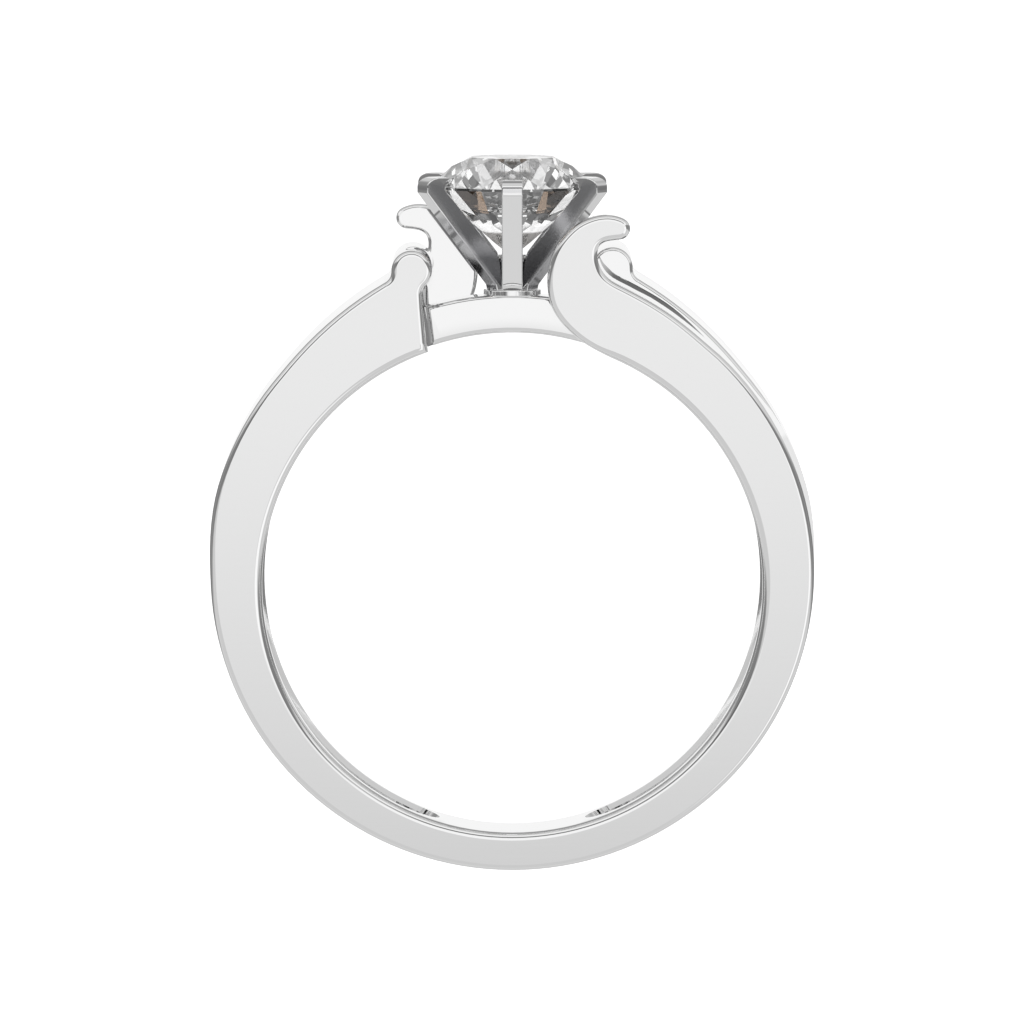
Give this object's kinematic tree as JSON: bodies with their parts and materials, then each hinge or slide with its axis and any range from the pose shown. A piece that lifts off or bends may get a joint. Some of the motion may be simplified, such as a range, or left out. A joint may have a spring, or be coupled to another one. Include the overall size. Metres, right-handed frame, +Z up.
{
  "type": "solitaire ring",
  "caption": "White metal finger ring with split shoulders that end in a knob and a scroll, and a round brilliant held in a pronged setting on a curved bridge.",
  "frame": {"origin": "centre of the finger hole, level with the middle of the bridge's width", "axes": "the ring lies on its side: +Y towards the stone, +X to the right of one who looks down on it, +Z up, 5 degrees off the finger hole's axis"},
  "size_m": [0.0208, 0.0249, 0.0073],
  "materials": {
    "white_gold": "mirror polish",
    "diamond": "polished facets"
  },
  "bodies": {
    "root": {"band": "white_gold", "setting": "white_gold", "stone": "diamond"}
  },
  "joints": []
}
